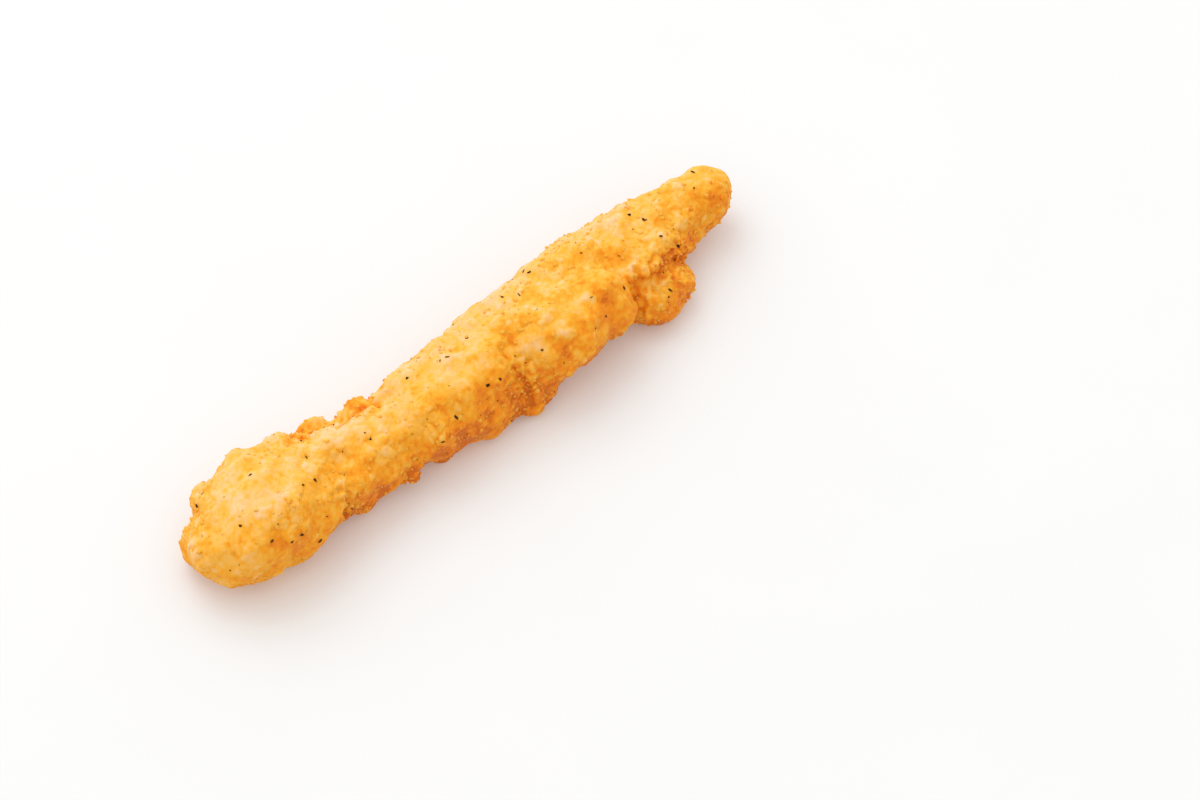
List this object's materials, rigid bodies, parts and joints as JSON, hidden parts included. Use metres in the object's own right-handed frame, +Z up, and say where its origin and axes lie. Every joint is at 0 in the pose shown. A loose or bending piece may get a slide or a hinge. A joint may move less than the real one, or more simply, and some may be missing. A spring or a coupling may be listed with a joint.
{
  "type": "chicken tender",
  "caption": "Long breaded and fried strip of chicken with a thick club end, a waist, a folded middle, a thin finger end and a small hanging lobe.",
  "frame": {"origin": "under the middle of the strip's bounding box, on the surface it rests on", "axes": "+Z up, +X along the strip from its thick club end to its thin finger end, +Y across it"},
  "size_m": [0.1302, 0.026, 0.0192],
  "materials": {
    "golden_crust": "golden fried crumb crust with pale and toasted patches, slightly oily"
  },
  "bodies": {
    "root": {"chicken_tender": "golden_crust"}
  },
  "joints": []
}
